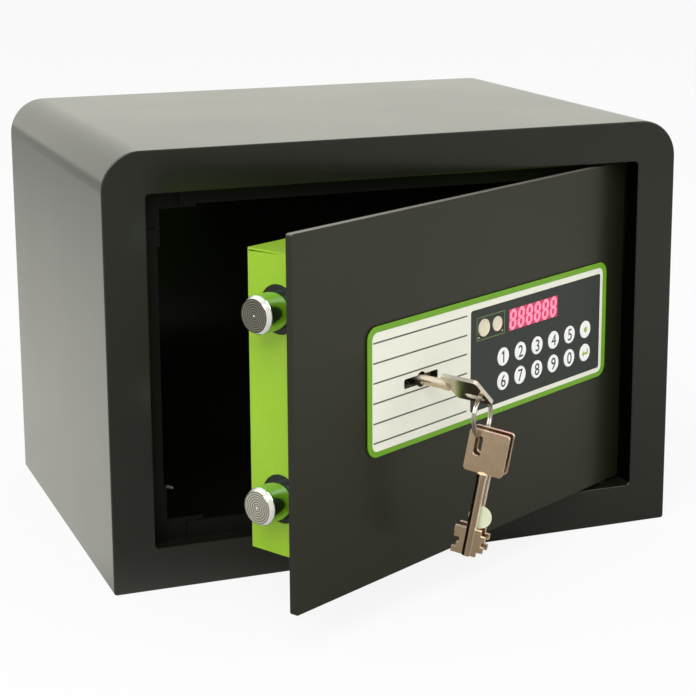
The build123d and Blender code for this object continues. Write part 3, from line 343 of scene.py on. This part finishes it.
def vector_of(tree, operation, first, second=None, output="Vector"):
    """One step of arithmetic on a vector socket and a plain vector."""
    step = node(tree, "ShaderNodeVectorMath", operation=operation)
    tree.links.new(first, step.inputs[0])
    if second is not None:
        step.inputs[1].default_value = second
    return step.outputs[output]


def length_of(tree, vector):
    return vector_of(tree, "LENGTH", vector, output="Value")


def part_of(tree, vector, axis):
    """The X, Y or Z of a vector."""
    split = node(tree, "ShaderNodeSeparateXYZ")
    tree.links.new(vector, split.inputs[0])
    return split.outputs[axis]


def map_of(tree, value, before=(0, 1), after=(0, 1), kind="LINEAR"):
    """A value taken from one range to another."""
    spread = node(tree, "ShaderNodeMapRange", interpolation_type=kind)
    for socket, end in zip(("From Min", "From Max", "To Min", "To Max"), (*before, *after)):
        spread.inputs[socket].default_value = end
    tree.links.new(value, spread.inputs["Value"])
    return spread.outputs[0]


def ramp_of(tree, value, span, first, last):
    """A smooth change of colour from first at the low end of a span to last at its high end."""
    blend = node(tree, "ShaderNodeMix", data_type="RGBA")
    tree.links.new(map_of(tree, value, span, kind="SMOOTHSTEP"), blend.inputs["Factor"])
    feed(tree, blend.inputs[6], first)
    feed(tree, blend.inputs[7], last)
    return blend.outputs[2]


def mixed(tree, factor, first, second):
    """The shader first where the factor is 0 and second where it is 1."""
    mix = node(tree, "ShaderNodeMixShader")
    tree.links.new(factor, mix.inputs["Fac"])
    tree.links.new(first, mix.inputs[1])
    tree.links.new(second, mix.inputs[2])
    return mix.outputs[0]


def straight_view(tree, path):
    """1 for what the camera sees, straight or through glass."""
    camera, through_glass = path.outputs["Is Camera Ray"], path.outputs["Is Transmission Ray"]
    return sum_of(tree, "MAXIMUM", camera, through_glass)


def turned_to(tree, direction):
    """How far a face is turned to a direction, in its own coordinates: 1 is straight at it and
    -1 straight away."""
    normal = node(tree, "ShaderNodeTexCoord").outputs["Normal"]
    return vector_of(tree, "DOT_PRODUCT", normal, direction, "Value")


def by_facing(tree, direction, span, first, last):
    """A colour from first to last as a face turns towards a direction, either way along it."""
    return ramp_of(tree, sum_of(tree, "ABSOLUTE", turned_to(tree, direction)), span, first, last)


def tint_base(material, tint):
    """Multiplies a finish's own colour by another."""
    tree = material.node_tree
    shade = tree.nodes["Principled BSDF"].inputs["Base Color"]
    blend = node(tree, "ShaderNodeMix", data_type="RGBA", blend_type="MULTIPLY")
    blend.inputs["Factor"].default_value = 1.0
    tree.links.new(shade.links[0].from_socket, blend.inputs[6])
    tree.links.new(tint, blend.inputs[7])
    tree.links.new(blend.outputs[2], shade)


def set_metallic(material, metallic):
    tree = material.node_tree
    tree.links.new(metallic, tree.nodes["Principled BSDF"].inputs["Metallic"])


def variant(material, name):
    """A copy of a finish, named after what wears it."""
    made = material.copy()
    made.name = material.name + "_" + name
    return made


def paint_node(name, material):
    for holder in frame["nodes"][name].material_slots:
        holder.material = material


# ------------------------------------------------------------------ lights and floor
def studio_gloss(tree, place):
    """How bright the studio looks in gloss: dim and warm in front, and darker still on the floor near
    the box as a painted shadow, paler at the sides, white to the left and behind."""
    across = part_of(tree, place, "X")
    deep = part_of(tree, place, "Y")
    reach = length_of(tree, place)
    front = ramp_of(tree, reach, GLOSS_FRONT_REACH, GLOSS_FRONT_NEAR_SHADE, GLOSS_FRONT)
    front = ramp_of(tree, sum_of(tree, "ABSOLUTE", across), GLOSS_SIDE_REACH, front, GLOSS_SIDE)
    back = sum_of(tree, "MULTIPLY_ADD", across, GLOSS_BACK_LEAN, deep)
    back = sum_of(tree, "ADD", back, GLOSS_BACK_SHIFT)
    back = sum_of(tree, "DIVIDE", back, sum_of(tree, "ADD", reach, GLOSS_SOFTENING))
    return ramp_of(tree, back, GLOSS_BACK_REACH, front, GLOSS_BACK)


def make_world():
    """White where the camera and glass look, a studio with a dim front in gloss, and soft light
    elsewhere."""
    world = bpy.data.worlds.new("studio")
    bpy.context.scene.world = world
    world.use_nodes = True
    tree = world.node_tree
    tree.nodes.clear()
    out = node(tree, "ShaderNodeOutputWorld")
    path = node(tree, "ShaderNodeLightPath")
    place = node(tree, "ShaderNodeTexCoord").outputs["Generated"]
    soft = node(tree, "ShaderNodeBackground", Color=WHITE, Strength=WORLD_STRENGTH)
    seen = node(tree, "ShaderNodeBackground", Color=WHITE, Strength=1.0)
    gloss = node(tree, "ShaderNodeBackground", Strength=1.0)
    tree.links.new(studio_gloss(tree, place), gloss.inputs["Color"])
    lit = mixed(tree, path.outputs["Is Glossy Ray"], soft.outputs[0], gloss.outputs[0])
    shown = mixed(tree, straight_view(tree, path), lit, seen.outputs[0])
    tree.links.new(shown, out.inputs["Surface"])


def area_lamp(name, place, aim, size, power):
    data = bpy.data.lights.new(name, "AREA")
    data.shape = "RECTANGLE"
    data.size, data.size_y = size
    data.energy = power
    lamp = bpy.data.objects.new(name, data)
    bpy.context.scene.collection.objects.link(lamp)
    towards = (Vector(aim) - Vector(place)).to_track_quat("-Z", "Y")
    lamp.matrix_world = Matrix.Translation(place) @ towards.to_matrix().to_4x4()


def floor_material():
    """Pale and matt, with painted shade under the box, where its holes show the floor. Most of what
    the camera sees of the rest is plain white, so that only the object's shadow shows."""
    material = bpy.data.materials.new("floor_white")
    material.use_nodes = True
    tree = material.node_tree
    tree.nodes.clear()
    out = node(tree, "ShaderNodeOutputMaterial")
    path = node(tree, "ShaderNodeLightPath")
    place = node(tree, "ShaderNodeNewGeometry").outputs["Position"]
    reach = length_of(tree, place)
    unshaded_floor = ramp_of(tree, reach, FLOOR_SHADE_REACH, FLOOR_SHADE, WHITE)

    matt = node(tree, "ShaderNodeBsdfDiffuse")
    grain = node(tree, "ShaderNodeTexNoise", Scale=FLOOR_GRAIN, Detail=FLOOR_DETAIL)
    tone = map_of(tree, grain.outputs["Fac"], after=FLOOR_TONE)
    tree.links.new(sum_of(tree, "MULTIPLY", unshaded_floor, tone), matt.inputs["Color"])
    white = node(tree, "ShaderNodeEmission", Color=WHITE, Strength=1.0)
    gloss = node(tree, "ShaderNodeEmission")
    fade = map_of(tree, reach, FLOOR_GLOSS_REACH, FLOOR_GLOSS_SHARE)
    tree.links.new(studio_gloss(tree, place), gloss.inputs["Color"])
    tree.links.new(fade, gloss.inputs["Strength"])

    white_share = sum_of(tree, "MULTIPLY", unshaded_floor, FLOOR_WHITE_SHARE)
    seen = sum_of(tree, "MULTIPLY", straight_view(tree, path), white_share)
    glossy = sum_of(tree, "MULTIPLY", path.outputs["Is Glossy Ray"], FLOOR_WHITE_SHARE)
    shown = mixed(tree, seen, matt.outputs[0], white.outputs[0])
    tree.links.new(mixed(tree, glossy, shown, gloss.outputs[0]), out.inputs["Surface"])
    return material


def make_floor():
    mesh = bpy.data.meshes.new("floor")
    corners = [
        (x * FLOOR_REACH, y * FLOOR_REACH, 0) for x, y in ((-1, -1), (1, -1), (1, 1), (-1, 1))
    ]
    mesh.from_pydata(corners, [], [(0, 1, 2, 3)])
    mesh.materials.append(floor_material())
    floor = bpy.data.objects.new("floor", mesh)
    bpy.context.scene.collection.objects.link(floor)
    floor.location.z = -FLOOR_DROP


# ------------------------------------------------------------------ materials
def surface(name, color, rough, metallic=0.0, mottle=0.08, spread=0.04, patch=0.03, grain=0.0012,
            bump=0.00002, **sockets):
    """A procedural finish in the row's own coordinates.

    The colour is mottled by a share of itself over patches and grains of the given sizes in
    metres, the gloss varies by spread, and the grain stands up by bump metres. Sockets set the
    shader's own inputs."""
    material = bpy.data.materials.new(name)
    material.use_nodes = True
    tree = material.node_tree
    shader = tree.nodes["Principled BSDF"]
    shader.inputs["Metallic"].default_value = metallic
    for socket, value in sockets.items():
        shader.inputs[socket.replace("_", " ")].default_value = value
    coords = node(tree, "ShaderNodeTexCoord")
    patches = node(tree, "ShaderNodeTexNoise", Scale=1 / patch, Detail=PATCH_DETAIL)
    grains = node(tree, "ShaderNodeTexNoise", Scale=1 / grain, Detail=GRAIN_DETAIL)
    for noise in (patches, grains):
        tree.links.new(coords.outputs["Object"], noise.inputs["Vector"])

    tones = node(tree, "ShaderNodeValToRGB")
    for stop, position, change in zip(tones.color_ramp.elements, TONE_SPREAD, (-mottle, mottle)):
        stop.position = position
        stop.color = (*[min(1, c * (1 + change)) for c in color], 1)
    both = sum_of(tree, "ADD", patches.outputs["Fac"], grains.outputs["Fac"])
    tree.links.new(sum_of(tree, "MULTIPLY", both, 0.5), tones.inputs["Fac"])
    tree.links.new(tones.outputs["Color"], shader.inputs["Base Color"])
    if "Emission_Strength" in sockets:
        tree.links.new(tones.outputs["Color"], shader.inputs["Emission Color"])

    rough_span = (max(LEAST_ROUGHNESS, rough - spread), rough + spread)
    gloss = map_of(tree, patches.outputs["Fac"], after=rough_span)
    tree.links.new(gloss, shader.inputs["Roughness"])
    relief = node(tree, "ShaderNodeBump", Strength=1.0, Distance=bump)
    tree.links.new(grains.outputs["Fac"], relief.inputs["Height"])
    tree.links.new(relief.outputs[0], shader.inputs["Normal"])
    return material


def make_finishes():
    return {
        name: surface(name, color, rough, float(metal), **more)
        for name, color, rough, metal, more in FINISHES
    }


def paint_door_edge_light(material):
    """The upright edges of the door plate are duller than its face and darker with painted shade,
    and its top edge is paler with a painted highlight."""
    tree = material.node_tree
    tint_base(material, ramp_of(tree, turned_to(tree, (0, 0, 1)), TOP_HIGHLIGHT_FACING, WHITE, DOOR_TOP_HIGHLIGHT_TINT))
    edge = Matrix.Rotation(OPEN_ANGLE, 3, "Z") @ Vector((1, 0, 0))
    tint_base(material, by_facing(tree, edge, EDGE_FACING, WHITE, DOOR_SIDE_SHADE_TINT))
    rough = tree.nodes["Principled BSDF"].inputs["Roughness"]
    dull = by_facing(tree, edge, EDGE_FACING, grey(0), DOOR_SIDE_ROUGHNESS)
    tree.links.new(sum_of(tree, "MAXIMUM", rough.links[0].from_socket, dull), rough)


def shade_keyhole(material):
    """The walls of the keyhole are darkened to black with painted shade, over the green of the panel that it is
    cut through.
    """
    tree = material.node_tree
    turn = next(row for row in frame["joints"] if row["name"] == "key_turn")
    place = node(tree, "ShaderNodeTexCoord").outputs["Object"]
    apart = vector_of(tree, "SUBTRACT", place, turn["pos_m"])
    around = length_of(tree, vector_of(tree, "CROSS_PRODUCT", apart, turn["axis"]))
    tint_base(material, ramp_of(tree, around, KEYHOLE_REACH, KEYHOLE_SHADE_TINT, WHITE))


def finish_nodes(finish):
    slots = {row["node"]: row["material_slot"] for row in frame["record"]["subparts"]}
    # The nodes in the dark of the safe get the painted shade paint.
    slots.update(dict.fromkeys(SHADED_NODES, "inner_shade_paint"))
    for name in frame["nodes"]:
        paint_node(name, finish[slots[name]])


def paint_key_edge_light(finish):
    """The keys' cut edges are paler and less metallic than their stamped faces, a painted
    highlight, and the spare keys are darkened to their left with painted shade."""
    for name, edge_highlight, face_tint, left_shade in KEY_TINTS:
        polygons = frame["nodes"][name].data.polygons
        flat = max(polygons, key=lambda polygon: polygon.area).normal
        material = variant(finish["key_nickel"], name)
        tree = material.node_tree
        tint_base(material, by_facing(tree, flat, STAMPED_FACING, edge_highlight, face_tint))
        if left_shade:
            left = turned_to(tree, flat.cross((0, 0, -1 if flat.y > 0 else 1)))
            tint_base(material, ramp_of(tree, left, LEFT_SHADE_FACING, WHITE, left_shade))
        set_metallic(material, by_facing(tree, flat, STAMPED_FACING, KEY_EDGE_METALLIC, WHITE))
        paint_node(name, material)


def shade_jamb(finish):
    """The upright walls of the front frame's opening are darkened with painted shade and made to
    reflect next to nothing, so that the gap by the door is black."""
    material = variant(finish["cabinet_paint"], "jamb")
    tree = material.node_tree
    across = (1, 0, 0)
    tint_base(material, by_facing(tree, across, EDGE_FACING, WHITE, JAMB_SHADE_TINT))
    set_metallic(material, by_facing(tree, across, EDGE_FACING, grey(0), JAMB_SHADE_METALLIC))
    paint_node("front_frame", material)


# ------------------------------------------------------------------ pieces
def piece(name, mesh, material, body, at=AJAR):
    """Puts a mesh in the scene, riding on a body and wearing a material in a slot."""
    made = bpy.data.objects.new(name, mesh)
    bpy.context.scene.collection.objects.link(made)
    made.data.materials.append(material)
    made.matrix_world = at
    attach(made, body)
    return made


def prism(outline, y, depth):
    """A flat figure: outline points (x, z) extruded from depth y towards the front."""
    bm = bmesh.new()
    base = [bm.verts.new((x, y, z)) for x, z in outline]
    face = bm.faces.new(base)
    raised = bmesh.ops.extrude_face_region(bm, geom=[face])
    tops = [g for g in raised["geom"] if isinstance(g, bmesh.types.BMVert)]
    bmesh.ops.translate(bm, verts=tops, vec=(0, -depth, 0))
    bmesh.ops.recalc_face_normals(bm, faces=bm.faces)
    return bm


def print_piece(name, outlines, y, material, body, depth=INK):
    """A piece printed on the door's front: outlines raised from depth y."""
    mesh = bpy.data.meshes.new(name)
    whole = bmesh.new()
    for outline in outlines:
        part = prism(outline, y, depth)
        held = bpy.data.meshes.new("held")
        part.to_mesh(held)
        part.free()
        whole.from_mesh(held)
        bpy.data.meshes.remove(held)
    whole.to_mesh(mesh)
    whole.free()
    return piece(name, mesh, material, body)


def bar(x0, x1, z0, z1):
    return [(x0, z0), (x1, z0), (x1, z1), (x0, z1)]


def panel_point(u, z):
    """Door-plate coordinates in millimetres, from its lower left corner, to metres."""
    return DOOR_LEFT + u * MM, DOOR_BASE + z * MM


def outline_at(x, z, points):
    """An outline given in millimetres about the point x, z."""
    return [(x + u * MM, z + v * MM) for u, v in points]


def make_label_lines(finish):
    outlines = []
    for height in LINE_HEIGHTS:
        x0, z0 = panel_point(LINE_SPAN[0], height - LINE_HALF_WIDTH)
        x1, z1 = panel_point(LINE_SPAN[1], height + LINE_HALF_WIDTH)
        outlines.append(bar(x0, x1, z0, z1))
    print_piece("label_lines", outlines, LABEL_FRONT_Y, finish["line_ink"], "door")


def make_contact_frame(finish):
    (x0, z0), (x1, z1) = [panel_point(*corner) for corner in CONTACT_FRAME_CORNERS]
    w = CONTACT_FRAME_STROKE * MM
    sides = [
        bar(x0, x1, z0, z0 + w),
        bar(x0, x1, z1 - w, z1),
        bar(x0, x0 + w, z0 + w, z1 - w),
        bar(x1 - w, x1, z0 + w, z1 - w),
    ]
    print_piece("contact_frame", sides, PANEL_FRONT_Y, finish["outline_ink"], "door")
    (left, low), (right, high) = MINUS_CORNERS
    minus = outline_at(x0, z0, bar(left, right, low, high))
    circle = [math.tau * step / DOT_STEPS for step in range(DOT_STEPS)]
    dot = outline_at(x1 - DOT_INSET[0] * MM, z0 + DOT_INSET[1] * MM, [
        (DOT_RADIUS * math.cos(a), DOT_RADIUS * math.sin(a)) for a in circle
    ])
    print_piece(
        "contact_marks", [minus, dot], PANEL_FRONT_Y, finish["button_white"], "door")


def segments():
    """The seven bars of one display digit, in millimetres from its lower left corner."""
    width, height = DIGIT_SIZE
    stroke, gap = DIGIT_STROKE, DIGIT_GAP
    half, middle = stroke / 2, height / 2

    def level_bar(z):
        near, far = stroke + gap, width - stroke - gap
        return [
            (half + gap, z), (near, z + half), (far, z + half),
            (width - half - gap, z), (far, z - half), (near, z - half),
        ]

    def upright_bar(x, lo, hi):
        low, high = lo + half + gap, hi - half - gap
        return [
            (x, lo + gap), (x + half, low), (x + half, high),
            (x, hi - gap), (x - half, high), (x - half, low),
        ]

    bars = [level_bar(half), level_bar(middle), level_bar(height - half)]
    for x in (half, width - half):
        bars += [upright_bar(x, half, middle), upright_bar(x, middle, height - half)]
    return [[(x + z * DIGIT_SLANT, z) for x, z in outline] for outline in bars]


def make_digits(finish):
    outlines = []
    for index in range(DIGITS):
        along = DIGITS_CORNER[0] + DIGITS_INSET[0] + index * DIGIT_PITCH
        x, z = panel_point(along, DIGITS_CORNER[1] + DIGITS_INSET[1])
        outlines += [outline_at(x, z, outline) for outline in segments()]
    print_piece(
        "display_digits", outlines, DISPLAY_FRONT_Y, finish["digit_glow"], "door",
        DIGIT_DEPTH * MM)


def digit_mesh(name, digit, x, z):
    """A digit of Blender's own font, raised from a button's face and centred on x, z."""
    curve = bpy.data.curves.new(name, "FONT")
    curve.body = digit
    curve.size = FONT_SIZE * MM
    curve.align_x = "CENTER"
    curve.align_y = "CENTER"
    curve.extrude = INK
    # Any offset would fill the small eye of the 4.
    curve.offset = 0 if digit == "4" else FONT_BOLDNESS * MM
    made = bpy.data.objects.new(name, curve)
    bpy.context.scene.collection.objects.link(made)
    upright = Matrix.Rotation(math.pi / 2, 4, "X")
    made.matrix_world = Matrix.Translation((x, BUTTON_FRONT_Y, z)) @ upright
    bpy.context.view_layer.update()
    shown = made.evaluated_get(bpy.context.evaluated_depsgraph_get())
    mesh = bpy.data.meshes.new_from_object(shown)
    mesh.transform(made.matrix_world)
    bpy.data.objects.remove(made)
    across = [v.co.x for v in mesh.vertices]
    upward = [v.co.z for v in mesh.vertices]
    centre = ((min(across) + max(across)) / 2, 0, (min(upward) + max(upward)) / 2)
    mesh.transform(Matrix.Translation(Vector((x, 0, z)) - Vector(centre)))
    mesh.materials.clear()
    return mesh


def star_outline():
    """A six-armed star in millimetres: the two corners of each arm, then the notch after it."""
    half_turn = math.pi / STAR_ARMS
    notch_reach = STAR_ARM_HALF_WIDTH / math.sin(half_turn)
    points = []
    for arm in range(STAR_ARMS):
        a = (2 * arm + 1) * half_turn
        tip = Vector((math.cos(a), math.sin(a))) * STAR_ARM_LENGTH
        side = Vector((-math.sin(a), math.cos(a))) * STAR_ARM_HALF_WIDTH
        notch = Vector((math.cos(a + half_turn), math.sin(a + half_turn))) * notch_reach
        points += [tip - side, tip + side, notch]
    return points


def make_button_marks(finish):
    drawn = {
        "star": (star_outline(), "green_ink"),
        "enter": (ENTER_OUTLINE, "green_ink"),
        "1": (ONE_OUTLINE, "ink"),
    }
    for row, marks in enumerate(BUTTON_ROWS):
        for column, mark in enumerate(marks):
            x, z = panel_point(
                BUTTON_FIRST[0] + BUTTON_PITCH[0] * column, BUTTON_FIRST[1] + BUTTON_PITCH[1] * row)
            name, body = "mark_" + mark, "button_" + mark
            if mark in drawn:
                points, ink = drawn[mark]
                outline = outline_at(x, z, points)
                print_piece(name, [outline], BUTTON_FRONT_Y, finish[ink], body)
            else:
                piece(name, digit_mesh(name, mark, x, z), finish["ink"], body)


# ------------------------------------------------------------------ bolts
def lathe(name, profile, steps):
    """A solid of revolution about X through the origin: profile points (x, r), first and last on
    the axis."""
    bm = bmesh.new()
    rings = []
    for x, r in profile:
        angles = [math.tau * i / steps for i in range(steps)] if r else [0]
        rings.append([bm.verts.new((x, r * math.cos(a), r * math.sin(a))) for a in angles])
    for a, b in zip(rings, rings[1:]):
        for i in range(steps):
            j = (i + 1) % steps
            corners = [a[i % len(a)], a[j % len(a)], b[j % len(b)], b[i % len(b)]]
            unique = list(dict.fromkeys(corners))
            if len(unique) > 2:
                bm.faces.new(unique)
    bmesh.ops.recalc_face_normals(bm, faces=bm.faces)
    mesh = bpy.data.meshes.new(name)
    bm.to_mesh(mesh)
    bm.free()
    for polygon in mesh.polygons:
        polygon.use_smooth = True
    return mesh


def bolt_profile():
    """The turned bolt: a centre mark and cutter rings on its face, a bright tapered rim, then the
    plain shank and its tail."""
    points = [(CENTRE_DEPTH, 0), (RIDGE_X, CENTRE_RADIUS)]
    for groove in range(GROOVES):
        r = FIRST_GROOVE + GROOVE_PITCH * groove
        points += [
            (RIDGE_X, r - GROOVE_HALF_WIDTH),
            (GROOVE_X, r),
            (RIDGE_X, r + GROOVE_HALF_WIDTH),
        ]
    points += [
        (FACE_EDGE_X, BOLT_FACE_RADIUS - FACE_CHAMFER),
        (FACE_CHAMFER, BOLT_FACE_RADIUS),
        (BOLT_RIM_LENGTH, BOLT_RADIUS - BOLT_CHAMFER),
        (BOLT_RIM_LENGTH + BOLT_CHAMFER, BOLT_RADIUS),
        (BOLT_LENGTH - BOLT_CHAMFER, BOLT_RADIUS),
        (BOLT_LENGTH, BOLT_RADIUS - BOLT_CHAMFER),
        (BOLT_LENGTH, BOLT_TAIL_RADIUS),
        (BOLT_LENGTH + BOLT_TAIL_LENGTH, BOLT_TAIL_RADIUS),
        (BOLT_LENGTH + BOLT_TAIL_LENGTH, 0),
    ]
    return [(x * MM, r * MM) for x, r in points]


def paint_bolt_light(material, ridge_reflection_tint, groove):
    """Colours by the bolt's own length: dark on the cut face, paler in its grooves as painted
    glints, brightest on the rim as a painted highlight, and the shank tinted as a painted reflection of the green
    pan."""
    tree = material.node_tree
    along = part_of(tree, node(tree, "ShaderNodeTexCoord").outputs["Object"], "X")

    def bands(face, rim, shank):
        """One colour each for the cut face, the rim and the shank."""
        return ramp_of(tree, along, FACE_BAND, face, ramp_of(tree, along, RIM_BAND, rim, shank))

    cut = ramp_of(tree, along, GROOVE_BAND, ridge_reflection_tint, groove)
    tint_base(material, bands(cut, RIM_HIGHLIGHT_TINT, SHANK_REFLECTION_TINT))
    set_metallic(material, bands(WHITE, RIM_METALLIC, WHITE))


def make_bolts(finish):
    for name, height, ridge_reflection_tint, groove in BOLTS:
        material = variant(finish["bolt_steel"], name)
        paint_bolt_light(material, ridge_reflection_tint, groove)
        mesh = lathe("turned_" + name, bolt_profile(), BOLT_STEPS)
        place = AJAR @ Matrix.Translation(Vector((BOLT_TIP_X, BOLT_Y, height)) * MM)
        made = piece("turned_" + name, mesh, material, "bolts", place)
        edge = made.modifiers.new("edges", "EDGE_SPLIT")
        edge.split_angle = BOLT_CREASE
        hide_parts(name)


# ------------------------------------------------------------------ the scene
bpy.context.scene.view_settings.view_transform = "Standard"
make_camera()
make_world()
for lamp in LAMPS:
    area_lamp(*lamp)
finishes = make_finishes()
make_floor()
paint_door_edge_light(finishes["door_paint"])
shade_keyhole(finishes["panel_green"])
finish_nodes(finishes)
paint_key_edge_light(finishes)
shade_jamb(finishes)
make_bolts(finishes)
make_label_lines(finishes)
make_contact_frame(finishes)
make_digits(finishes)
make_button_marks(finishes)
